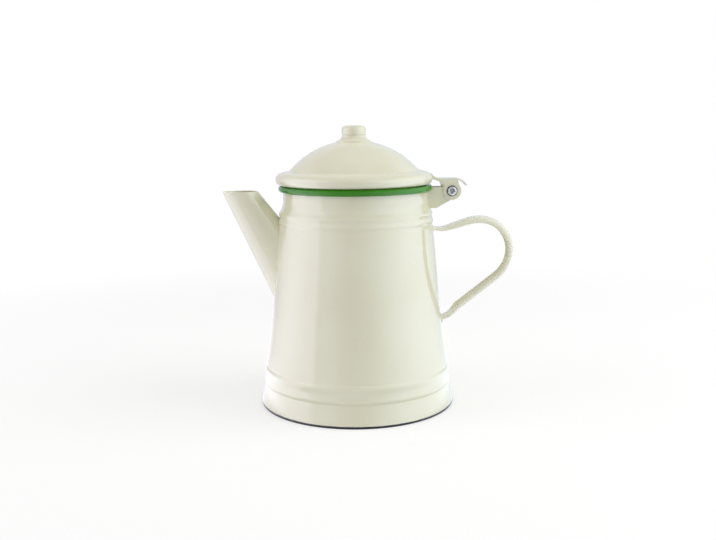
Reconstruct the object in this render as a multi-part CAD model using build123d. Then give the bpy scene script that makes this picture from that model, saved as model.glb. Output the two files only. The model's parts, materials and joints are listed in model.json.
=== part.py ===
from build123d import *
import math
import os

# An enamelled steel coffee pot, in millimetres. It stands on z = 0 around the Z axis.
# The spout points to -X. The hinge and the handle are on the +X side.

# Sheets and clearances
sheet = 1.0  # wall, rim, spout, lid and knob, enamel included
strap_sheet = 1.4  # handle
hinge_sheet = 0.9  # bracket and leaf
seat_clearance = 0.3  # lid over the rim
side_clearance = 0.3  # hinge faces that turn past each other
running_clearance = 0.05  # rivet in the leaf's holes, on the radius

# Wall: its outer face, in zones from the base disc upwards.
# A share is a part of the way along a zone.
base_radius = 60.3  # every other radius of the pot and its lid follows from this one
base_edge = 1.2  # thickness of the base disc
edge_step = 0.1  # the disc stands out this far past the wall
flare_height = 12.0
flare_share = 0.55  # of the flare's width, turned in by its middle height
flare_width = 2.35  # base disc's edge outside the waist above the flare
foot_rib_pitch = 5.0
foot_rib_lean = 0.95  # how far the foot ribs lean in
wall_height = 89.0
wall_taper = 9.95  # how far the wall leans in over that height
wall_sag_low = 0.9  # how far the wall curves in from straight, a third of the way up
wall_sag_high = 0.5  # and two thirds of the way up
shoulder_rib_pitch = 4.0
rib_height = 0.45
shoulder_lean = 0.6  # how far the shoulder ribs lean in
shoulder_height = 10.9  # from the lowest shoulder rib to the foot of the neck
shoulder_turn = (0.35, 0.38)  # shares of the shoulder's width and height at its turn
shoulder_end = 0.83  # share of its width at the foot of the neck
shoulder_taper = 2.65  # from the lowest shoulder rib in to the neck
neck_height = 8.6
neck_share = 0.4  # where the neck turns upright

# Base disc
base_edge_round = 0.4
foot_ring_width = 8.0
base_recess = 2.0
recess_slope = 3.0

# Rim roll
roll_radius = 1.9
roll_gap = 0.25  # where the sheet's edge comes back to the neck

# Spout: its section is level, an egg with the pointed end at the lip
mouth_drop = 3.6  # mouth below the top of the rim
lip_overhang = 21.3  # lip past the edge of the base
mouth_length = 21.7
mouth_width = 16.0
spout_root_width = 24.0
under_lean = 24.5  # degrees from upright, underside
upper_lean = 38.3  # degrees from upright, upper side
egg_share = 0.6  # widest point of the egg, from the lip

# Strainer: punched holes in the wall behind the spout
strainer_hole = 4.2
strainer_pitch = 6.0
strainer_rows = 6
strainer_spread = 3.7  # sideways, in every other row
strainer_drop = 9.0  # top row below the shoulder ribs

# Handle: a strap with its long edges turned in. Its outer face and the lip of its edges
# each follow a line, three arcs and a line, from the upper foot down.
strap_width = 13.0
handle_overhang = 36.25  # outermost point past the edge of the base
handle_rise = 3.2  # top of the strap over the lowest shoulder rib
brow_slope = 20.5  # degrees, of the strap as it leaves the upper foot
brow_length = 15.4
brow_radius = 28.0
bow_radius = 19.5  # top quarter
palm_radius = 25.7
leg_slope = 38.1  # degrees, of the leg down to the lower foot
leg_length = 37.0
lip_depth_top = 4.0
lip_depth_side = 3.0
lip_brow_slope = 19.0
lip_brow_radius = 24.0
lip_bow_radius = 18.0
edge_end = 2.5  # bare strap above the lower foot
edge_run_out = 4.5  # above that, where the turned-in edges grow to their depth
edge_radius = 2.8  # along both long edges, outside
upper_foot_tilt = 7.0  # degrees, rising to the wall
lower_foot_tilt = -24.0
lower_foot_taper = 3.5  # length over which the lower foot narrows
lower_foot_width = 11.0  # at the wall

# Hinge
pin_offset = 14.1  # pin axis outside the neck
pin_drop = 3.9  # pin axis below the top of the rim
pin_radius = 1.6
bracket_width = 10.0
bracket_end = 4.6  # radius around the pin
bracket_top = 2.3  # top edge over the pin axis
bracket_depth = 10.5  # lower edge at the neck, below the pin axis
bracket_foot = 4.8  # how far the lower edge runs level from the neck
ear_radius = 5.6
hood_reach = 6.3  # front face of the leaf's hood, from the pin axis
hood_corner = 3.0
hood_top_length = 3.2  # flat top past the pin axis
leaf_drop = 0.3  # leaf's top under the middle of the lid's bead
leaf_lap = 1.0  # how far the leaf laps in over the bead
leaf_lap_step = 0.4  # its top over the bead, where the lap starts
leaf_lap_slope = 40.0  # degrees
leaf_rise = 1.3  # top of the leaf beside the bead, over its level part
leaf_rise_slope = 30.0
leaf_level_start = 1.0  # before the hood's front
leaf_bend = 2.0  # inside radius between the leaf and the hood's front
leaf_side = 1.6  # height of the leaf's turned-down sides
tail_reach = 9.2
tail_fall = 4.0
tail_bow = 0.5
tail_slope = 45.0
washer_radius = 3.2
washer_thickness = 0.4
head_radius = 2.7
head_thickness = 0.9
head_round = 0.55
rivet_bore = 1.1
rivet_bore_depth = 4.0
rivet_countersink = 0.7

# Lid, around its own axis
lid_offset = -0.8  # the lid sits this far towards the spout
lid_overhang = 3.6  # edge of the bead outside the neck
ledge_width = 0.4  # level, between the dome's corner and the bead
dome_rise = 18.6  # over the top of the bead
bead_width = 7.2
bead_rise = 4.4  # over its widest point
bead_fall = 3.65  # below its widest point
lip_width = 2.8
corner_radius = 1.2  # where the dome meets the ledge
collar_gap = 1.6  # inside the neck, were the lid centred in it
collar_depth = 6.0  # below the top of the rim

# Knob
knob_radius = 7.35
knob_height = 9.0  # over the top of the dome
knob_crown = 0.3
knob_edge = 2.6
knob_head = 5.3  # height of the head
knob_crown_slope = 0.12  # fall over run, at the edge of its crown
knob_waist = 0.35
knob_waist_drop = 0.7  # below the head
knob_flare = 0.1  # the flare passes this far outside the head
knob_flare_share = 0.38  # of the way from the waist down to the foot
knob_foot_radius = 10.8
knob_foot_edge = 0.5
knob_foot_slope = 0.3  # fall over run

# Radii and reaches that follow from these
waist_radius = base_radius - flare_width
wall_foot_radius = waist_radius - foot_rib_lean
shoulder_radius = wall_foot_radius - wall_taper
neck_radius = shoulder_radius - shoulder_taper
spout_reach = base_radius + lip_overhang
handle_reach = base_radius + handle_overhang
bead_radius = neck_radius + lid_overhang
dome_foot_radius = bead_radius - bead_width - ledge_width
dome_radius = (dome_foot_radius**2 / dome_rise + dome_rise) / 2 - corner_radius
collar_radius = neck_radius - sheet - collar_gap

# Places that follow from these
waist_z = base_edge + flare_height
wall_foot_z = waist_z + 2 * foot_rib_pitch + foot_rib_pitch / 4
shoulder_z = wall_foot_z + wall_height - foot_rib_pitch / 4
neck_foot_z = shoulder_z + shoulder_height
neck_top_z = neck_foot_z + neck_height
roll_z = neck_top_z + math.sqrt(roll_radius**2 - (roll_radius - sheet) ** 2)
rim_top_z = roll_z + roll_radius
roll_x = neck_radius - sheet + roll_radius
bead_z = rim_top_z + seat_clearance + bead_fall
bead_top_z = bead_z + bead_rise
dome_top_z = bead_top_z + dome_rise
pin_x = neck_radius + pin_offset
pin_z = rim_top_z - pin_drop
leaf_top_z = bead_z - leaf_drop
hood_half_width = bracket_width / 2 + side_clearance + hinge_sheet
washer_y = hood_half_width + side_clearance
mouth_z = rim_top_z - mouth_drop


def turned(edges):
    """Solid of revolution round the pot's axis, from edges in (radius, height)."""
    return revolve(Plane.XZ * make_face(edges), Axis.Z)


def turned_polygon(*points):
    """Solid of revolution round the pot's axis, from corners in (radius, height)."""
    return turned(Polyline(*points, close=True).edges())


def rib_points(foot, top):
    """Two pressed ribs between two points of the wall, each point (radius, height)."""
    points = []
    for step in range(5):
        share = step / 4
        bulge = rib_height * (step % 2)
        radius = foot[0] + (top[0] - foot[0]) * share + bulge
        points.append((radius, foot[1] + (top[1] - foot[1]) * share))
    return points


def wall_points():
    """Points of the conical wall between the two pairs of ribs."""
    foot = (wall_foot_radius, wall_foot_z)
    top = (shoulder_radius, shoulder_z)
    points = [foot]
    for share, sag in ((1 / 3, wall_sag_low), (2 / 3, wall_sag_high)):
        radius = foot[0] + (top[0] - foot[0]) * share - sag
        points.append((radius, foot[1] + (top[1] - foot[1]) * share))
    return points + [top]


def side_outline(inset):
    """Edges of the pot's side from the base disc to the rim, moved in by the inset."""
    start = (base_radius - edge_step, base_edge)
    waist = (waist_radius, waist_z)
    middle_radius = start[0] + (waist[0] - start[0]) * flare_share
    flare_middle = (middle_radius, (start[1] + waist[1]) / 2)
    foot_ribs = rib_points(waist, (wall_foot_radius, wall_foot_z))
    ribs_top = (shoulder_radius - shoulder_lean, shoulder_z + 2 * shoulder_rib_pitch)
    shoulder = rib_points((shoulder_radius, shoulder_z), ribs_top)[:4]
    crest = shoulder[3]
    fall = (crest[0] - neck_radius, neck_foot_z - crest[1])
    turn = (crest[0] - fall[0] * shoulder_turn[0], crest[1] + fall[1] * shoulder_turn[1])
    shoulder.append(turn)
    shoulder.append((crest[0] - fall[0] * shoulder_end, neck_foot_z))
    shoulder.append((neck_radius, neck_foot_z + neck_height * neck_share))
    groups = [[start, flare_middle, waist], foot_ribs, wall_points(), shoulder]
    moved = [[(x - inset, z) for x, z in group] for group in groups]
    neck = Line(moved[3][-1], (neck_radius - inset, neck_top_z))
    return [ThreePointArc(*moved[0])] + [Spline(*g) for g in moved[1:]] + [neck]


def pot_core(inset=0.0):
    """The space that the pot's side encloses, filled."""
    bottom = (0, base_edge)
    top = (0, neck_top_z)
    start = (base_radius - edge_step - inset, base_edge)
    end = (neck_radius - inset, neck_top_z)
    closing = [Line(end, top), Line(top, bottom), Line(bottom, start)]
    return turned(side_outline(inset) + closing)


def body_wall(core):
    """The wall, with the strainer holes punched through it behind the spout."""
    wall = core - pot_core(sheet)
    for row in range(strainer_rows):
        z = shoulder_z - strainer_drop - row * strainer_pitch
        sides = (0,) if row % 2 else (-strainer_spread, strainer_spread)
        for y in sides:
            punch = Cylinder(strainer_hole / 2, base_radius, rotation=(0, 90, 0))
            wall -= Pos(-base_radius / 2, y, z) * punch
    return wall


def base_disc():
    """The bottom: a flat foot ring under the wall and a raised middle."""
    ring = base_radius - foot_ring_width
    middle = ring - recess_slope
    lean = base_edge * base_recess / (recess_slope + base_recess)
    under = [(0, base_recess), (middle, base_recess), (ring, 0), (base_radius, 0)]
    over = [
        (base_radius, base_edge),
        (ring - lean, base_edge),
        (middle - lean, base_recess + base_edge),
        (0, base_recess + base_edge),
    ]
    disc = turned_polygon(*under, *over)
    rim_edges = disc.edges().filter_by(GeomType.CIRCLE).sort_by(SortBy.RADIUS)[-2:]
    return fillet(rim_edges, base_edge_round)


def rim_space():
    """The space that the rim takes, its hollow and the mouth filled."""
    section = Pos(roll_x, roll_z) * Circle(roll_radius)
    height = roll_z + roll_radius - neck_top_z
    mouth = Cylinder(roll_x, height)
    return revolve(Plane.XZ * section, Axis.Z) + Pos(0, 0, neck_top_z + height / 2) * mouth


def rim_roll():
    """The sheet's edge, rolled outwards over the neck."""
    roll = Circle(roll_radius) - Circle(roll_radius - sheet)
    leg_height = roll_z - neck_top_z
    leg = Pos(neck_radius - sheet / 2, neck_top_z + leg_height / 2)
    slot = Pos(neck_radius + roll_gap / 2, roll_z - roll_radius)
    section = Pos(roll_x, roll_z) * roll + leg * Rectangle(sheet, leg_height)
    section -= slot * Rectangle(roll_gap, 2 * roll_radius)
    return revolve(Plane.XZ * section, Axis.Z)


def spout_section(z, inset):
    """Level egg-shaped section of the spout at a height, moved in by the inset."""
    down = mouth_z - z
    depth = (spout_reach - neck_radius) / math.tan(math.radians(under_lean))
    lip = -spout_reach + down * math.tan(math.radians(under_lean)) + inset
    back = -spout_reach + mouth_length + down * math.tan(math.radians(upper_lean)) - inset
    half_width = (mouth_width + (spout_root_width - mouth_width) * down / depth) / 2 - inset
    middle = lip + (back - lip) * egg_share
    front = EllipticalCenterArc((middle, 0), middle - lip, half_width, 90, arc_size=180)
    rear = EllipticalCenterArc((middle, 0), back - middle, half_width, -90, arc_size=180)
    return Pos(0, 0, z) * make_face([front, rear])


def spout(core):
    """The straight spout, cut to the wall."""
    foot_z = mouth_z - (spout_reach - neck_radius) / math.tan(math.radians(under_lean))
    skin = loft([spout_section(foot_z, 0), spout_section(mouth_z, 0)], ruled=True)
    below, above = foot_z - sheet, mouth_z + sheet
    bore = loft([spout_section(below, sheet), spout_section(above, sheet)], ruled=True)
    return skin - bore - core


def strap_arcs(top_z, reach, radii, slope):
    """Three arcs of the strap's side view: brow, bow and palm."""
    brow, bow, palm = radii
    apex_x = reach - bow
    bow_z = top_z - bow
    return [
        CenterArc((apex_x, top_z - brow), brow, 90 + slope, -slope),
        CenterArc((apex_x, bow_z), bow, 90, -90),
        CenterArc((reach - palm, bow_z), palm, 0, leg_slope - 90),
    ]


def strap_face_line(depth):
    """Edges of the strap at a depth under its outer face, from the upper foot down."""
    radii = (brow_radius - depth, bow_radius - depth, palm_radius - depth)
    top_z = shoulder_z + handle_rise - depth
    arcs = strap_arcs(top_z, handle_reach - depth, radii, brow_slope)
    rise = Vector(brow_length, 0).rotate(Axis.Z, brow_slope)
    fall = Vector(-leg_length, 0).rotate(Axis.Z, leg_slope)
    upper = Line(arcs[0] @ 0 - rise, arcs[0] @ 0)
    lower = Line(arcs[-1] @ 1, arcs[-1] @ 1 + fall)
    return [upper, *arcs, lower]


def strap_lip_line():
    """Edges along the lip of the turned-in edges, from the upper foot down."""
    outer, inner = strap_face_line(0), strap_face_line(strap_sheet)
    along = Vector(1, 0).rotate(Axis.Z, leg_slope)
    across = along.rotate(Axis.Z, 90)
    face = outer[-1] @ 1
    reach = handle_reach - lip_depth_side
    bow_z = shoulder_z + handle_rise - lip_depth_top - lip_bow_radius
    # the palm arc's radius that sets the leg's lip at lip_depth_side
    off_line = (Vector(reach, bow_z) - face - across * lip_depth_side).dot(across)
    palm = off_line / (1 - math.sin(math.radians(leg_slope)))
    radii = (lip_brow_radius, lip_bow_radius, palm)
    arcs = strap_arcs(bow_z + lip_bow_radius, reach, radii, lip_brow_slope)
    start = inner[-1] @ 1 + along * edge_end
    full = face + along * (edge_end + edge_run_out) + across * lip_depth_side
    lines = [Line(arcs[-1] @ 1, full), Line(full, start), Line(start, inner[-1] @ 1)]
    return [Line(inner[0] @ 0, arcs[0] @ 0), *arcs, *lines]


def strap_band(outer, inner):
    """Side view of the strap between two of its lines."""
    ends = [Line(outer[0] @ 0, inner[0] @ 0), Line(outer[-1] @ 1, inner[-1] @ 1)]
    return make_face(outer + inner + ends)


def strap_foot(outer, inner, tilt, taper, end_width):
    """One flattened foot, from the strap's end through the wall."""
    root_x = neck_radius - sheet
    outer_z = outer.Y + (outer.X - root_x) * math.tan(math.radians(tilt))
    thickness = math.copysign(strap_sheet / math.cos(math.radians(tilt)), inner.Y - outer.Y)
    tip = [(outer.X, outer.Y), (inner.X, inner.Y)]
    root = [(root_x, outer_z + thickness), (root_x, outer_z)]
    side = make_face(Polyline(*tip, *root, close=True).edges())
    foot = extrude(Plane.XZ * side, strap_width / 2, both=True)
    tip_x = max(outer.X, inner.X)
    half = [(tip_x, strap_width / 2), (tip_x - taper, end_width / 2), (root_x, end_width / 2)]
    mirrored = [(x, -y) for x, y in reversed(half)]
    plan = make_face(Polyline(*half, *mirrored, close=True).edges())
    return foot & extrude(plan, neck_top_z)


def long_edges(band, half, line):
    """Edges of an extruded band that run along a line of its side view."""
    found = []
    for edge in band.edges():
        middle = edge @ 0.5
        for part in line:
            target = part @ 0.5
            if abs(abs(middle.Y) - half) < 1e-6:
                if math.hypot(middle.X - target.X, middle.Z - target.Y) < 1e-3:
                    found.append(edge)
    return found


def handle(core):
    """The strap handle, its long edges turned in and its ends flattened."""
    half = strap_width / 2
    face_line = strap_face_line(0)
    under_line = strap_face_line(strap_sheet)
    band = strap_band(face_line, strap_lip_line())
    grip = extrude(Plane.XZ * band, half, both=True)
    grip = fillet(long_edges(grip, half, face_line), edge_radius)
    hollow = strap_band(under_line, strap_face_line(2 * lip_depth_top))
    inner = half - strap_sheet
    hollow = extrude(Plane.XZ * hollow, inner, both=True)
    grip -= fillet(long_edges(hollow, inner, under_line), edge_radius - strap_sheet)
    grip += strap_foot(
        face_line[0] @ 0, under_line[0] @ 0, upper_foot_tilt, strap_sheet, strap_width
    )
    grip += strap_foot(
        face_line[-1] @ 1,
        under_line[-1] @ 1,
        lower_foot_tilt,
        lower_foot_taper,
        lower_foot_width,
    )
    return grip - core


def plan_box(left, right, half_width, radius):
    """Plan view of a box with its two left corners rounded."""
    base = Rectangle(right - left, 2 * half_width)
    rounded = fillet(base.vertices().sort_by(Axis.X)[:2], radius)
    return Pos((left + right) / 2, 0) * rounded


def hinge_bracket(core):
    """The fixed half of the hinge: two cheeks and a web on the neck."""
    low_z = pin_z - bracket_depth
    foot_x = neck_radius + bracket_foot
    reach = math.hypot(pin_x - foot_x, pin_z - low_z)
    tilt = math.atan2(pin_z - low_z, pin_x - foot_x) - math.asin(bracket_end / reach)
    tangent_x = pin_x + bracket_end * math.sin(tilt)
    tangent_z = pin_z - bracket_end * math.cos(tilt)
    root_x = neck_radius - 2 * sheet
    plate = Polyline(
        (root_x, low_z),
        (foot_x, low_z),
        (tangent_x, tangent_z),
        (pin_x, pin_z + bracket_top),
        (root_x, pin_z + bracket_top),
        close=True,
    )
    end = Pos(pin_x, pin_z) * Circle(bracket_end)
    front = pin_x - hood_reach + hood_corner
    notch = Pos(front - bracket_end, pin_z + bracket_top + bracket_end)
    end -= notch * Rectangle(2 * bracket_end, 2 * bracket_end)
    cheek = make_face(plate.edges()) + end
    bracket = extrude(Plane.XZ * cheek, bracket_width / 2, both=True)
    room = Box(4 * pin_x, bracket_width - 2 * hinge_sheet, 4 * pin_z)
    room = Pos(2 * pin_x, 0, 0) * room - pot_core(-hinge_sheet)
    bracket = bracket - room - core - rim_space()
    return bracket - cross_cylinder(pin_radius, 2 * bracket_width)


def cross_cylinder(radius, length, middle_y=0.0):
    """A cylinder along the pin's axis."""
    return Pos(pin_x, middle_y, pin_z) * Cylinder(radius, length, rotation=(90, 0, 0))


def hinge_hood():
    """The pressed hood over the bracket: a top, a front and two ears."""
    front = pin_x - hood_reach
    back = pin_x + ear_radius
    top_back = pin_x + hood_top_length
    side = Polyline(
        (front, pin_z),
        (front, leaf_top_z),
        (top_back, leaf_top_z),
        (back, pin_z),
        close=True,
    )
    ear = make_face(side.edges()) + Pos(pin_x, pin_z) * Circle(ear_radius)
    plan = plan_box(front, back + hood_reach, hood_half_width, hood_corner)
    height = leaf_top_z - pin_z + 2 * ear_radius
    block = Pos(0, 0, leaf_top_z - height) * extrude(plan, height)
    block = block & extrude(Plane.XZ * ear, hood_half_width, both=True)
    room_plan = plan_box(
        front + hinge_sheet,
        back + 2 * hood_reach,
        hood_half_width - hinge_sheet,
        hood_corner - hinge_sheet,
    )
    room_top = leaf_top_z - hinge_sheet
    room = Pos(0, 0, room_top - height) * extrude(room_plan, height)
    front_low = pin_z + bracket_top + side_clearance
    below = Pos(front + hood_corner - height / 2, 0, front_low - height / 2)
    between = bracket_width + 2 * side_clearance
    return block - room - below * Box(height, between, height)


def bead_height(x):
    """Height of the top of the lid's bead over a point on the hinge's side."""
    share = (x - lid_offset - bead_radius + bead_width) / bead_width
    return bead_z + bead_rise * math.sqrt(1 - share**2)


def sunk(x, z, slope, depth):
    """A point of the leaf's top, moved down by a depth, square to its slope."""
    angle = math.radians(slope)
    return (x - depth * math.sin(angle), z - depth * math.cos(angle))


def leaf_line(depth):
    """Edges of the leaf at a depth under its top face, from the lid to the tail."""
    bead_x = lid_offset + bead_radius
    lap_x = bead_x - leaf_lap
    lap_z = bead_height(lap_x) + leaf_lap_step
    level = leaf_top_z - depth
    over = Spline(
        sunk(lap_x, lap_z, leaf_lap_slope, depth),
        sunk(bead_x + leaf_lap_step, leaf_top_z + leaf_rise, leaf_rise_slope, depth),
        (pin_x - hood_reach - leaf_level_start, level),
    )
    start = (pin_x + hood_top_length, level)
    tip_x, tip_z = pin_x + tail_reach, leaf_top_z - tail_fall
    tip = sunk(tip_x, tip_z, tail_slope, depth)
    bend_x = (start[0] + tip_x) / 2 + tail_bow
    bend_z = (leaf_top_z + tip_z) / 2 + tail_bow
    bend = sunk(bend_x, bend_z, tail_slope / 2, depth)
    return [over, Line(over @ 1, start), ThreePointArc(start, bend, tip)]


def leaf_sides():
    """The leaf's turned-down sides, from the lid to the ears of the hood."""
    over = leaf_line(0)[0]
    front = pin_x - hood_reach
    ear_x = front + hood_corner
    low_z = leaf_top_z - leaf_side
    middle = leaf_bend * (1 - math.sqrt(0.5))
    under = Polyline(
        over @ 1,
        (ear_x, leaf_top_z),
        (ear_x, low_z - leaf_bend),
        (front, low_z - leaf_bend),
    )
    bend = ThreePointArc(
        (front, low_z - leaf_bend),
        (front - middle, low_z - middle),
        (front - leaf_bend, low_z),
    )
    start = over @ 0
    back = Polyline(bend @ 1, (start.X, low_z + leaf_rise), start)
    profile = make_face([over, *under.edges(), bend, *back.edges()])
    inner = hood_half_width - hinge_sheet
    sides = extrude(Plane.XZ * profile, hood_half_width, both=True)
    return sides - extrude(Plane.XZ * profile, inner, both=True)


def hinge_leaf(lid_space):
    """The moving half of the hinge, from its lap on the lid to its curled tail."""
    top = leaf_line(0)
    bottom = leaf_line(hinge_sheet)
    ends = [Line(top[0] @ 0, bottom[0] @ 0), Line(top[-1] @ 1, bottom[-1] @ 1)]
    strip = make_face(top + bottom + ends)
    leaf = extrude(Plane.XZ * strip, hood_half_width, both=True)
    corner = (pin_x - hood_reach, leaf_top_z - hinge_sheet)
    bend = Pos(corner[0] - leaf_bend / 2, corner[1] - leaf_bend / 2)
    bend = bend * Rectangle(leaf_bend, leaf_bend)
    bend -= Pos(corner[0] - leaf_bend, corner[1] - leaf_bend) * Circle(leaf_bend)
    leaf += extrude(Plane.XZ * bend, hood_half_width - hood_corner, both=True)
    hole = cross_cylinder(pin_radius + running_clearance, 4 * bracket_width)
    return leaf + leaf_sides() + hinge_hood() - hole - lid_space


def hinge_rivet():
    """The tubular rivet: a shank, a plain head and a rolled hollow head."""
    head_y = washer_y + washer_thickness
    rivet = cross_cylinder(pin_radius, 2 * head_y)
    for side in (-1, 1):
        middle = side * (head_y + head_thickness / 2)
        head = cross_cylinder(head_radius, head_thickness, middle)
        outer = head.edges().filter_by(GeomType.CIRCLE).sort_by(Axis.Y)
        outer = outer[-1] if side > 0 else outer[0]
        rivet += fillet(outer, head_round)
    end_y = -head_y - head_thickness
    rivet -= cross_cylinder(rivet_bore, rivet_bore_depth, end_y + rivet_bore_depth / 2)
    mouth = rivet.edges().filter_by_position(Axis.Y, end_y - 1e-3, end_y + 1e-3)
    return chamfer(mouth.sort_by(SortBy.RADIUS)[0], rivet_countersink)


def hinge_washers():
    """One thin washer under each head of the rivet."""
    rings = []
    for side in (-1, 1):
        middle = side * (washer_y + washer_thickness / 2)
        ring = cross_cylinder(washer_radius, washer_thickness, middle)
        rings.append(ring - cross_cylinder(pin_radius, 4 * bracket_width))
    return Compound(children=rings)


def lid_outline(inset):
    """Edges of the lid from its axis out to the lip, moved in by the inset."""
    centre_z = dome_top_z - dome_radius
    radius = dome_radius - inset
    ledge_z = bead_top_z - inset
    corner = corner_radius + inset
    corner_z = ledge_z + corner
    angle = math.degrees(math.atan2(corner_z - centre_z, dome_foot_radius))
    bead_x = bead_radius - bead_width
    lip_x = bead_radius - lip_width
    bead_size = (bead_width - inset, bead_rise - inset)
    lip_size = (lip_width - inset, bead_fall - inset)
    return [
        CenterArc((0, centre_z), radius, 90, angle - 90),
        CenterArc((dome_foot_radius, corner_z), corner, 180 + angle, 90 - angle),
        Line((dome_foot_radius, ledge_z), (bead_x, ledge_z)),
        EllipticalCenterArc((bead_x, bead_z), *bead_size, 0, arc_size=90),
        EllipticalCenterArc((lip_x, bead_z), *lip_size, -90, arc_size=90),
    ]


def lid_core():
    """The space under the lid's outer face, filled."""
    lip_x = bead_radius - lip_width
    bottom = bead_z - bead_fall
    closing = Polyline((lip_x, bottom), (0, bottom), (0, dome_top_z))
    core = turned(lid_outline(0) + closing.edges())
    return Pos(lid_offset, 0, 0) * core


def lid_shell():
    """The pressed lid: a dome and a rounded bead."""
    lip_x = bead_radius - lip_width
    bottom = bead_z - bead_fall
    ends = [
        Line((lip_x, bottom), (lip_x, bottom + sheet)),
        Line((0, dome_top_z), (0, dome_top_z - sheet)),
    ]
    shell = turned(lid_outline(0) + lid_outline(sheet) + ends)
    return Pos(lid_offset, 0, 0) * shell


def lid_collar():
    """The ring under the lid that keeps it in the mouth."""
    low = rim_top_z - collar_depth
    inner = collar_radius - sheet
    foot = [(inner, low), (collar_radius, low)]
    ring = turned_polygon(*foot, (collar_radius, dome_top_z), (inner, dome_top_z))
    return Pos(lid_offset, 0, 0) * (ring - lid_roof_space())


def lid_roof_space():
    """The space over the lid's inner face."""
    low = (bead_radius - lip_width, bead_z - bead_fall + sheet)
    outside = 2 * bead_radius
    top = 2 * dome_top_z
    start = (0, dome_top_z - sheet)
    closing = Polyline(start, (0, top), (outside, top), (outside, low[1]), low)
    return turned(lid_outline(sheet) + closing.edges())


def lid_knob():
    """The hollow pressed knob, its flared foot set on the dome."""
    top = dome_top_z + knob_height
    head_z = top - knob_head
    foot_z = dome_top_z - knob_foot_radius**2 / (2 * dome_radius) + knob_foot_edge
    waist = (knob_radius - knob_waist, head_z - knob_waist_drop)
    flare_z = waist[1] + (foot_z - waist[1]) * knob_flare_share
    shoulder = (knob_radius - knob_edge, top - knob_crown)
    side_z = top - knob_crown - knob_edge
    crown_way = (1, -knob_crown_slope)
    crown = Spline((0, top), shoulder, tangents=[(1, 0), crown_way])
    edge = Spline(shoulder, (knob_radius, side_z), tangents=[crown_way, (0, -1)])
    side = Line((knob_radius, side_z), (knob_radius, head_z))
    flare = Spline(
        (knob_radius, head_z),
        waist,
        (knob_radius + knob_flare, flare_z),
        (knob_foot_radius, foot_z),
        tangents=[(0, -1), (1, -knob_foot_slope)],
        tangent_scalars=[1, 1],
    )
    foot = [(knob_foot_radius, foot_z), (knob_foot_radius, bead_top_z)]
    closing = Polyline(*foot, (0, bead_top_z), (0, top))
    knob = turned([crown, edge, side, flare] + closing.edges())
    hollow_top = top - knob_crown - sheet
    hollow = Cylinder(knob_radius - knob_waist - sheet, hollow_top - bead_top_z)
    knob -= Pos(0, 0, (hollow_top + bead_top_z) / 2) * hollow
    return Pos(lid_offset, 0, 0) * knob - lid_core()


def main():
    """Make every piece and write each to its own file."""
    core = pot_core()
    lid_space = lid_core()
    pieces = {
        "body_wall": body_wall(core),
        "base_disc": base_disc(),
        "rim_roll": rim_roll(),
        "spout": spout(core),
        "handle": handle(core),
        "hinge_bracket": hinge_bracket(core),
        "hinge_leaf": hinge_leaf(lid_space),
        "hinge_rivet": hinge_rivet(),
        "hinge_washers": hinge_washers(),
        "lid_shell": lid_shell(),
        "lid_collar": lid_collar(),
        "lid_knob": lid_knob(),
    }
    os.makedirs("parts", exist_ok=True)
    for name, piece in pieces.items():
        export_step(piece, f"parts/{name}.step")


main()
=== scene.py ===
import bpy
import json
import math
from mathutils import Matrix, Vector

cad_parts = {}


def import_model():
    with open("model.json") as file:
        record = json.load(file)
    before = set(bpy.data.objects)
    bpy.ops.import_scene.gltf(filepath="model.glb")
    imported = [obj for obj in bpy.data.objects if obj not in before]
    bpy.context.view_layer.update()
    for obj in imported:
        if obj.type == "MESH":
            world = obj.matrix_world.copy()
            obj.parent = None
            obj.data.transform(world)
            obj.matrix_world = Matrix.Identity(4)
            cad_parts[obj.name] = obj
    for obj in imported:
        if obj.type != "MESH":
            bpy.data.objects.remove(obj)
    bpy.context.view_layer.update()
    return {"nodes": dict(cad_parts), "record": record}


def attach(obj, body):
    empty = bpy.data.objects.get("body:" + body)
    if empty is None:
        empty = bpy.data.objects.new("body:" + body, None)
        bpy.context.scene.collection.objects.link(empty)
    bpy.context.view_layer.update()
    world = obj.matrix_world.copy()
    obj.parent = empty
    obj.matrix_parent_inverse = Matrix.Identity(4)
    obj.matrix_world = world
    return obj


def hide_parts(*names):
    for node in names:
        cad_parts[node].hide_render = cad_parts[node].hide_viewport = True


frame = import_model()

# Enamelled steel coffee pot. Metres, the frame's own axes: spout to -X, handle and hinge to +X.

# Colours, linear. The second of a pair is the one that the first drifts to in patches.
CREAM = (0.80, 0.785, 0.605)
CREAM_DEEP = (0.775, 0.755, 0.57)
# The strap's cream is the body's cream painted lighter: painted light that brightens the handle
STRAP_CREAM_PAINTED_LIGHTER = (0.87, 0.86, 0.71)
STRAP_DEEP_PAINTED_LIGHTER = (0.85, 0.835, 0.68)
GREEN = (0.045, 0.27, 0.0)
GREEN_DEEP = (0.03, 0.2, 0.0)
BLACK = (0.022, 0.021, 0.020)
BLACK_WORN = tuple(value * 2.2 for value in BLACK)
STEEL = (0.60, 0.59, 0.56)
STEEL_STAINED = (0.36, 0.35, 0.33)
# Washer steel, painted dark: painted shade round the rivet head
WASHER_PAINTED_SHADE = (0.12, 0.12, 0.10)
WASHER_PAINTED_SHADE_DEEP = (0.05, 0.05, 0.045)
WHITE = (1.0, 1.0, 1.0)

# Enamel
CREAM_IOR = 1.65
STRAP_IOR = 1.42
GREEN_IOR = 1.33
BLACK_IOR = 1.5
STRAP_DULL = 0.14  # added to the strap's roughness
SPECK_SHADE = 0.88
SMOOTHEST = 0.06
ROUGHEST = 0.13

# Dark foot line: the black enamel edge, thickened with painted contact shadow; in metres
FOOT_EDGE_AND_SHADE = 0.0017
FOOT_SOFT = 0.00015
FOOT_WANDER = 0.0004


def rgba(colour):
    return (*colour, 1.0)


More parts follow.
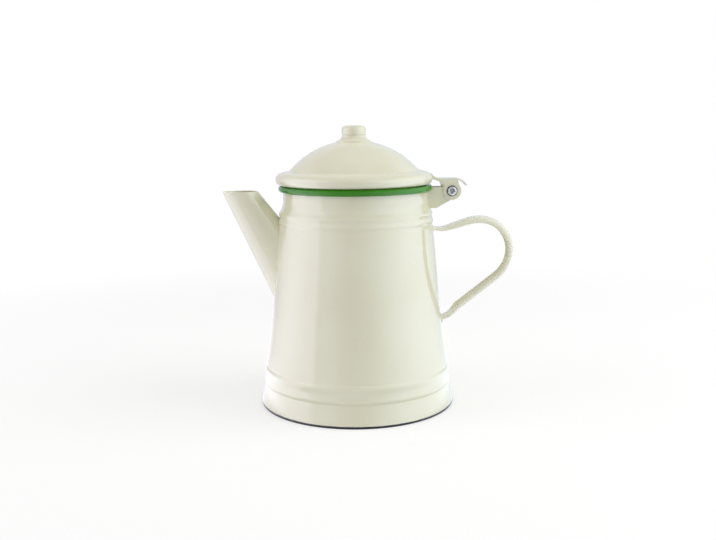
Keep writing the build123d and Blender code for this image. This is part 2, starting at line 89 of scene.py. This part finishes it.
class Graph:
    """A node tree that is filled by short calls."""

    def __init__(self, tree):
        self.tree = tree
        tree.nodes.clear()

    def node(self, kind, **settings):
        made = self.tree.nodes.new(kind)
        for name, value in settings.items():
            if name.startswith("in_"):
                made.inputs[name[3:].replace("_", " ")].default_value = value
            else:
                setattr(made, name, value)
        return made

    def link(self, output, target):
        self.tree.links.new(output, target)

    def coords(self, kind):
        return self.node("ShaderNodeTexCoord").outputs[kind]

    def axes(self, coords):
        """The X, Y and Z of a vector."""
        made = self.node("ShaderNodeSeparateXYZ")
        self.link(coords, made.inputs[0])
        return made.outputs

    def noise(self, coords, scale, detail):
        made = self.node("ShaderNodeTexNoise", in_Scale=scale, in_Detail=detail)
        self.link(coords, made.inputs["Vector"])
        return made.outputs["Fac"]

    def ramp(self, value, low, high, to_low=0.0, to_high=1.0):
        """A smooth change from one result to another while a value goes from low to high."""
        made = self.node("ShaderNodeMapRange", interpolation_type="SMOOTHSTEP")
        self.link(value, made.inputs["Value"])
        for name, number in (
            ("From Min", low),
            ("From Max", high),
            ("To Min", to_low),
            ("To Max", to_high),
        ):
            made.inputs[name].default_value = number
        return made.outputs["Result"]

    def mix(self, factor, first, second):
        """A mix of two colours."""
        made = self.node("ShaderNodeMix", data_type="RGBA")
        for value, slot in ((factor, 0), (first, 6), (second, 7)):
            if isinstance(value, tuple):
                made.inputs[slot].default_value = value
            else:
                self.link(value, made.inputs[slot])
        return made.outputs[2]

    def math(self, operation, *values):
        made = self.node("ShaderNodeMath", operation=operation)
        for value, target in zip(values, made.inputs):
            if isinstance(value, (int, float)):
                target.default_value = value
            else:
                self.link(value, target)
        return made.outputs[0]

    def sum(self, first, second):
        return self.math("ADD", first, second)

    def product(self, first, second):
        return self.math("MULTIPLY", first, second)

    def rest_of(self, share):
        return self.math("SUBTRACT", 1.0, share)

    def largest(self, first, second):
        return self.math("MAXIMUM", first, second)

    def bump(self, height, distance, strength, under=None):
        made = self.node("ShaderNodeBump", in_Strength=strength, in_Distance=distance)
        self.link(height, made.inputs["Height"])
        if under is not None:
            self.link(under, made.inputs["Normal"])
        return made.outputs["Normal"]

    def shader_mix(self, factor, first, second):
        """A mix of two shaders."""
        made = self.node("ShaderNodeMixShader")
        self.link(factor, made.inputs[0])
        self.link(first.outputs[0], made.inputs[1])
        self.link(second.outputs[0], made.inputs[2])
        return made

    def finish(self, kind, shader):
        self.link(shader.outputs[0], self.node(kind).inputs["Surface"])


def material(name, **sockets):
    """A new material with a Principled shader, and its graph and shader."""
    made = bpy.data.materials.new(name)
    made.use_nodes = True
    graph = Graph(made.node_tree)
    shader = graph.node("ShaderNodeBsdfPrincipled")
    for socket, value in sockets.items():
        shader.inputs[socket].default_value = value
    graph.finish("ShaderNodeOutputMaterial", shader)
    return made, graph, shader


def enamel(name, light, deep, ior, dull=0.0):
    """Glossy fired enamel: faint clouds, fine specks, a wavy skin, and black at the foot that is
    partly the enamel's edge and partly painted contact shadow.
    """
    made, graph, shader = material(name, IOR=ior)
    coords = graph.coords("Object")
    clouds = graph.ramp(graph.noise(coords, scale=28.0, detail=3.0), 0.35, 0.7)
    colour = graph.mix(clouds, rgba(light), rgba(deep))
    specks = graph.ramp(graph.noise(coords, scale=900.0, detail=1.0), 0.74, 0.80)
    colour = graph.mix(specks, colour, rgba(tuple(value * SPECK_SHADE for value in deep)))
    # Black below the foot line: the enamel's dark edge and painted contact shadow
    wander = graph.product(graph.noise(coords, scale=220.0, detail=2.0), FOOT_WANDER)
    edge = graph.sum(graph.axes(coords)["Z"], wander)
    above_foot_edge_and_shade = graph.ramp(edge, FOOT_EDGE_AND_SHADE - FOOT_SOFT, FOOT_EDGE_AND_SHADE + FOOT_SOFT)
    colour = graph.mix(above_foot_edge_and_shade, rgba(BLACK), colour)
    graph.link(colour, shader.inputs["Base Color"])
    smears = graph.noise(coords, scale=60.0, detail=4.0)
    smears = graph.ramp(smears, 0.3, 0.75, SMOOTHEST + dull, ROUGHEST + dull)
    graph.link(smears, shader.inputs["Roughness"])
    waves = graph.noise(coords, scale=70.0, detail=1.0)
    waves = graph.bump(waves, distance=0.0006, strength=0.25)
    skin = graph.noise(coords, scale=420.0, detail=1.0)
    skin = graph.bump(skin, distance=0.00006, strength=0.35, under=waves)
    graph.link(skin, shader.inputs["Normal"])
    return made


def dull_metal(name, clean, stained, stain_scale, stain_start, smoothest, roughest):
    """Bare metal with stains and an uneven gloss."""
    made, graph, shader = material(name, Metallic=1.0)
    coords = graph.coords("Object")
    stains = graph.ramp(graph.noise(coords, stain_scale, detail=4.0), stain_start, 0.7)
    graph.link(graph.mix(stains, rgba(clean), rgba(stained)), shader.inputs["Base Color"])
    rough = graph.noise(coords, scale=900.0, detail=3.0)
    graph.link(graph.ramp(rough, 0.3, 0.7, smoothest, roughest), shader.inputs["Roughness"])
    return made


FINISHES = {
    "cream_enamel": enamel("cream_enamel", CREAM, CREAM_DEEP, CREAM_IOR),
    "green_enamel": enamel("green_enamel", GREEN, GREEN_DEEP, GREEN_IOR),
    "black_enamel": enamel("black_enamel", BLACK, BLACK_WORN, BLACK_IOR),
    "bare_steel": dull_metal("bare_steel", STEEL, STEEL_STAINED, 500.0, 0.35, 0.28, 0.5),
}

# A node that doesn't wear its slot's usual finish: the washers are steel painted dark, painted
# shade for the shadow ring round the rivet
OWN_FINISHES = {
    "hinge_washers": dull_metal("washer_steel_painted_shade", WASHER_PAINTED_SHADE, WASHER_PAINTED_SHADE_DEEP, 700.0, 0.3, 0.35, 0.6),
}

for part in frame["record"]["subparts"]:
    node = frame["nodes"][part["node"]]
    node.data.materials.clear()
    finish = OWN_FINISHES.get(part["node"], FINISHES[part["material_slot"]])
    node.data.materials.append(finish)


# Handle, in millimetres: the strap's outer face in side view, from the upper foot down.
# An arc is its centre, radius, first and last angle in degrees, and number of steps.
STRAP_START = (46.4, 109.02)
BROW_START = (52.82, 108.23)
BROW_END = (67.24, 113.63)
BROW_ARC = ((77.05, 87.4), 28.0, 110.5, 90.0, 25)
BOW_ARC = ((77.05, 95.9), 19.5, 90.0, 0.0, 76)
PALM_ARC = ((70.85, 95.9), 25.7, 0.0, -51.9, 58)
LEG_END = (57.59, 52.85)
STRAP_END = (52.4, 50.53)
CORNER_REACH = 3  # points on each side that round off the path's corners
TABLE_REACH = 4  # and those that round off the tables below

STRAP_SHEET = 1.4
STRAP_EDGE = 3.2  # outer radius of the turned-in edges
LEAST_INNER = 0.3  # least radius inside them
MM_PER_METRE = 1000

# Depth and half width of the strap, each after its distance from the start of the brow
STRAP_DEPTHS = (
    (-1.0, 1.4),
    (1.5, 1.95),
    (4.0, 2.3),
    (9.0, 2.85),
    (15.0, 3.35),
    (20.0, 3.6),
    (29.0, 4.2),
    (38.0, 4.5),
    (44.0, 4.3),
    (50.0, 3.8),
    (58.0, 2.95),
    (66.0, 2.5),
    (75.0, 2.75),
    (80.0, 3.0),
    (108.5, 3.0),
    (113.8, 1.4),
)
STRAP_HALVES = ((-2.0, 6.6), (2.0, 6.5), (115.0, 6.5), (119.0, 5.6), (122.0, 5.5))

# Enamel fillet where a foot meets the wall
FILLET = 1.1
FILLET_START = 0.8
FILLET_REACH = 1.6


def spread(points, reach):
    """A running mean of points that rounds off corners."""
    last = len(points) - 1
    made = []
    for at in range(len(points)):
        near = min(reach, at, last - at)
        window = points[at - near:at + near + 1]
        made.append(tuple(sum(column) / len(window) for column in zip(*window)))
    return made


def arc(centre, radius, first, last, steps):
    """Points of an arc, its angles in degrees, without the first."""
    points = []
    for step in range(1, steps + 1):
        angle = math.radians(first + (last - first) * step / steps)
        points.append((centre[0] + radius * math.cos(angle), centre[1] + radius * math.sin(angle)))
    return points


def run(start, end, steps):
    """Points of a straight run, without the first."""
    points = []
    for step in range(1, steps + 1):
        points.append(tuple(a + (b - a) * step / steps for a, b in zip(start, end)))
    return points


def table(stations, place):
    """A value between the stations of a table of (place, value)."""
    for (low, first), (high, last) in zip(stations, stations[1:]):
        if place <= high:
            share = min(max((place - low) / (high - low), 0.0), 1.0)
            return first + (last - first) * share
    return stations[-1][1]


def along_strap(stations, along):
    """A table's values at all points of the strap, with its corners rounded off."""
    values = [(table(stations, place),) for place in along]
    return [value for (value,) in spread(values, TABLE_REACH)]


def strap_path():
    """Points of the strap's outer face, each with its distance from the start of the brow."""
    points = [STRAP_START]
    points += run(points[-1], BROW_START, 16)
    brow = len(points) - 1
    points += run(points[-1], BROW_END, 38)
    points += arc(*BROW_ARC)
    points += arc(*BOW_ARC)
    points += arc(*PALM_ARC)
    points += run(points[-1], LEG_END, 92)
    points += run(points[-1], STRAP_END, 14)
    points = spread(spread(points, CORNER_REACH), CORNER_REACH)
    along = [0.0]
    for first, second in zip(points, points[1:]):
        along.append(along[-1] + math.dist(first, second))
    return points, [place - along[brow] for place in along]


def strap_section(depth, half, flare):
    """Closed section of the strap, (across, inward), its edges turned in and rounded."""
    lip = STRAP_SHEET / 2
    edge = min(STRAP_EDGE, depth - lip)
    inner = min(max(edge - STRAP_SHEET, LEAST_INNER), max(depth - 1.5 * STRAP_SHEET, 0.0))
    wall = half - STRAP_SHEET
    lip_centre = (half - lip, depth - lip)
    points = [((half - edge) * step / 5, 0.0) for step in range(6)]
    points += arc((half - edge, edge), edge, -90, 0, 8)
    points += run((half, edge), (half, depth - lip), 3)
    points += [(x, max(y, edge)) for x, y in arc(lip_centre, lip, 0, 90, 4)]
    points += [(x, max(y, STRAP_SHEET)) for x, y in arc(lip_centre, lip, 90, 180, 4)]
    points += run(points[-1], (wall, STRAP_SHEET + inner), 2)
    points += arc((wall - inner, STRAP_SHEET + inner), inner, 0, -90, 4)
    points += run(points[-1], (0.0, STRAP_SHEET), 5)
    grown = []
    for across, inward in points:
        side = -flare if inward < lip else flare
        grown.append((across * (1 + flare / half), inward + side))
    return grown + [(-across, inward) for across, inward in reversed(grown[1:-1])]


def swept(name, rings):
    """A closed smooth skin over rings of points in millimetres, its ends filled."""
    count = len(rings[0])
    points = [tuple(value / MM_PER_METRE for value in point) for ring in rings for point in ring]
    faces = []
    for ring in range(len(rings) - 1):
        low, high = ring * count, (ring + 1) * count
        for at in range(count):
            after = (at + 1) % count
            faces.append((low + at, high + at, high + after, low + after))
    faces.append(tuple(range(count)))
    faces.append(tuple(reversed(range(len(points) - count, len(points)))))
    mesh = bpy.data.meshes.new(name)
    mesh.from_pydata(points, [], faces)
    for face in mesh.polygons:
        face.use_smooth = True
    made = bpy.data.objects.new(name, mesh)
    bpy.context.scene.collection.objects.link(made)
    return made


def handle_strap():
    """The handle: a pressed strap, its long edges turned in, with an enamel fillet at each foot."""
    points, along = strap_path()
    depths = along_strap(STRAP_DEPTHS, along)
    halves = along_strap(STRAP_HALVES, along)
    rings = []
    last = len(points) - 1
    for at, (x, z) in enumerate(points):
        before, after = points[max(at - 1, 0)], points[min(at + 1, last)]
        length = math.dist(before, after)
        inward = ((after[1] - before[1]) / length, (before[0] - after[0]) / length)
        from_wall = min(along[at] - along[0], along[last] - along[at]) - FILLET_START
        flare = FILLET * max(1.0 - max(from_wall, 0.0) / FILLET_REACH, 0.0) ** 2
        ring = []
        for across, depth in strap_section(depths[at], halves[at], flare):
            ring.append((x + inward[0] * depth, across, z + inward[1] * depth))
        rings.append(ring)
    made = swept("handle_strap", rings)
    # The strap wears a lighter copy of the cream enamel, painted light on the handle
    made.data.materials.append(
        enamel("strap_enamel_painted_lighter", STRAP_CREAM_PAINTED_LIGHTER, STRAP_DEEP_PAINTED_LIGHTER, STRAP_IOR, STRAP_DULL)
    )
    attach(made, "pot")
    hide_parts("handle")


handle_strap()


# Camera: the photograph's viewing angle
CAMERA_PLACE = (0.001069, -0.532337, 0.171191)
CAMERA_TILT = 80.51  # degrees from straight down
CAMERA_ROLL = -0.53
CAMERA_LENS = 43.58
CAMERA_SENSOR = 36.0


def camera():
    data = bpy.data.cameras.new("camera")
    data.sensor_width = CAMERA_SENSOR
    data.lens = CAMERA_LENS
    made = bpy.data.objects.new("camera", data)
    tilt = Matrix.Rotation(math.radians(CAMERA_TILT), 4, "X")
    roll = Matrix.Rotation(math.radians(CAMERA_ROLL), 4, "Z")
    made.matrix_world = Matrix.Translation(CAMERA_PLACE) @ tilt @ roll
    bpy.context.scene.collection.objects.link(made)
    bpy.context.scene.camera = made


camera()


# Square soft boxes that gloss doesn't show: name, place, aim, side and brightness
LAMPS = (
    ("key", (0.75, -0.12, 0.70), (0, 0, 0.05), 0.8, 1.9),
    ("fill", (-0.80, -0.15, 0.55), (0, 0, 0.08), 0.7, 1.2),
    ("box_top", (0.0, 0.05, 1.1), (0, 0, 0.1), 0.8, 0.5),
)


def lamp(name, place, aim, side, radiance):
    """A soft box that faces a point."""
    data = bpy.data.lights.new(name, "AREA")
    data.shape = "SQUARE"
    data.size = side
    data.energy = radiance * math.pi * side * side
    made = bpy.data.objects.new(name, data)
    made.location = place
    way = Vector(aim) - Vector(place)
    made.rotation_euler = way.to_track_quat("-Z", "Y").to_euler()
    made.visible_camera = False
    made.visible_glossy = False
    bpy.context.scene.collection.objects.link(made)


for settings in LAMPS:
    lamp(*settings)


# What gloss mirrors all round: (bearing in degrees, brightness).
# The bearing is 0 straight ahead of the pot and -90 at the spout.
SURROUND = (
    (-145, 0.8),
    (-85, 3.4),
    (-58, 3.1),
    (-50, 1.8),
    (-5, 0.8),
    (75, 3.2),
    (155, 0.8),
)
LEFT_TINT = (1.0, 0.97, 1.15)
RIGHT_TINT = (0.86, 0.97, 1.12)
TINT_REACH = 0.1


def surround(graph, axes):
    """Brightness of the mirrored surroundings by the bearing of a point or direction."""
    bearing = graph.math("ARCTAN2", axes["X"], graph.product(axes["Y"], -1.0))
    total = SURROUND[0][1]
    for (start, low), (end, high) in zip(SURROUND, SURROUND[1:]):
        part = graph.ramp(bearing, math.radians(start), math.radians(end), 0.0, high - low)
        total = graph.sum(part, total)
    return total


def surround_tint(graph, axes):
    """Colour of the mirrored surroundings, cooler on the handle's side."""
    side = graph.ramp(axes["X"], -TINT_REACH, TINT_REACH)
    return graph.mix(side, rgba(LEFT_TINT), rgba(RIGHT_TINT))


EVEN_LIGHT = 0.58
OVERHEAD_LIGHT = 0.5  # what gloss mirrors from above
OVERHEAD_FROM = 0.5  # the sines of the heights between which that takes over
OVERHEAD_TO = 0.87


def world():
    """Even light, a white background for the camera, and the surroundings for gloss."""
    made = bpy.data.worlds.new("studio")
    made.use_nodes = True
    bpy.context.scene.world = made
    graph = Graph(made.node_tree)
    path = graph.node("ShaderNodeLightPath").outputs
    axes = graph.axes(graph.coords("Generated"))
    even = graph.node("ShaderNodeBackground", in_Color=rgba(WHITE), in_Strength=EVEN_LIGHT)
    shown = graph.node("ShaderNodeBackground")
    for_camera = path["Is Camera Ray"]
    overhead = graph.ramp(axes["Z"], OVERHEAD_FROM, OVERHEAD_TO)
    lower = graph.product(surround(graph, axes), graph.rest_of(overhead))
    mirrored = graph.sum(lower, graph.product(overhead, OVERHEAD_LIGHT))
    level = graph.sum(for_camera, graph.product(mirrored, graph.rest_of(for_camera)))
    graph.link(level, shown.inputs["Strength"])
    colour = graph.mix(for_camera, surround_tint(graph, axes), rgba(WHITE))
    graph.link(colour, shown.inputs["Color"])
    seen = graph.largest(for_camera, path["Is Glossy Ray"])
    seen = graph.largest(seen, path["Is Transmission Ray"])
    graph.finish("ShaderNodeOutputWorld", graph.shader_mix(seen, even, shown))


world()


FLOOR_HALF = 6.0
FLOOR_PLAIN = (0.8, 0.8, 0.8)  # what the other light meets
FLOOR_SHADE = (0.55, 0.55, 0.55)  # what shows the camera the pot's shadow
FLOOR_GLOW = 0.465
FADE_FROM = 0.25  # the distances between which it turns to plain white
FADE_TO = 0.6
MIRRORED_NEAR = 1.4  # least brightness that gloss mirrors close to the pot
MIRRORED_FAR = 0.8
MIRRORED_FROM = 0.15
MIRRORED_TO = 0.6
CONTACT_SHADE = 0.4  # share of that brightness that is left at the pot's foot
CONTACT_FROM = 0.06
CONTACT_TO = 0.11


def floor_paint():
    """White that keeps the pot's soft shadow for the camera and shows gloss the surroundings."""
    paint = bpy.data.materials.new("floor")
    paint.use_nodes = True
    graph = Graph(paint.node_tree)
    path = graph.node("ShaderNodeLightPath").outputs
    coords = graph.coords("Object")
    axes = graph.axes(coords)
    away = graph.node("ShaderNodeVectorMath", operation="LENGTH")
    graph.link(coords, away.inputs[0])
    away = away.outputs["Value"]

    shadowed = graph.node("ShaderNodeAddShader")
    shade = graph.node("ShaderNodeBsdfDiffuse", in_Color=rgba(FLOOR_SHADE))
    glow = graph.node("ShaderNodeEmission", in_Strength=FLOOR_GLOW)
    graph.link(shade.outputs[0], shadowed.inputs[0])
    graph.link(glow.outputs[0], shadowed.inputs[1])
    far = graph.node("ShaderNodeEmission", in_Strength=1.0)
    for_camera = graph.shader_mix(graph.ramp(away, FADE_FROM, FADE_TO), shadowed, far)

    mirrored = graph.node("ShaderNodeEmission")
    least = graph.ramp(away, MIRRORED_FROM, MIRRORED_TO, MIRRORED_NEAR, MIRRORED_FAR)
    contact = graph.ramp(away, CONTACT_FROM, CONTACT_TO, CONTACT_SHADE, 1.0)
    level = graph.product(graph.largest(surround(graph, axes), least), contact)
    graph.link(level, mirrored.inputs["Strength"])
    graph.link(surround_tint(graph, axes), mirrored.inputs["Color"])

    plain = graph.node("ShaderNodeBsdfDiffuse", in_Color=rgba(FLOOR_PLAIN))
    others = graph.shader_mix(path["Is Glossy Ray"], plain, mirrored)
    surface = graph.shader_mix(path["Is Camera Ray"], others, for_camera)
    graph.finish("ShaderNodeOutputMaterial", surface)
    return paint


def floor():
    """A plain floor under the pot."""
    mesh = bpy.data.meshes.new("floor")
    low, high = -FLOOR_HALF, FLOOR_HALF
    corners = [(low, low, 0), (high, low, 0), (high, high, 0), (low, high, 0)]
    mesh.from_pydata(corners, [], [(0, 1, 2, 3)])
    made = bpy.data.objects.new("floor", mesh)
    bpy.context.scene.collection.objects.link(made)
    mesh.materials.append(floor_paint())


floor()

bpy.context.scene.view_settings.view_transform = "Standard"
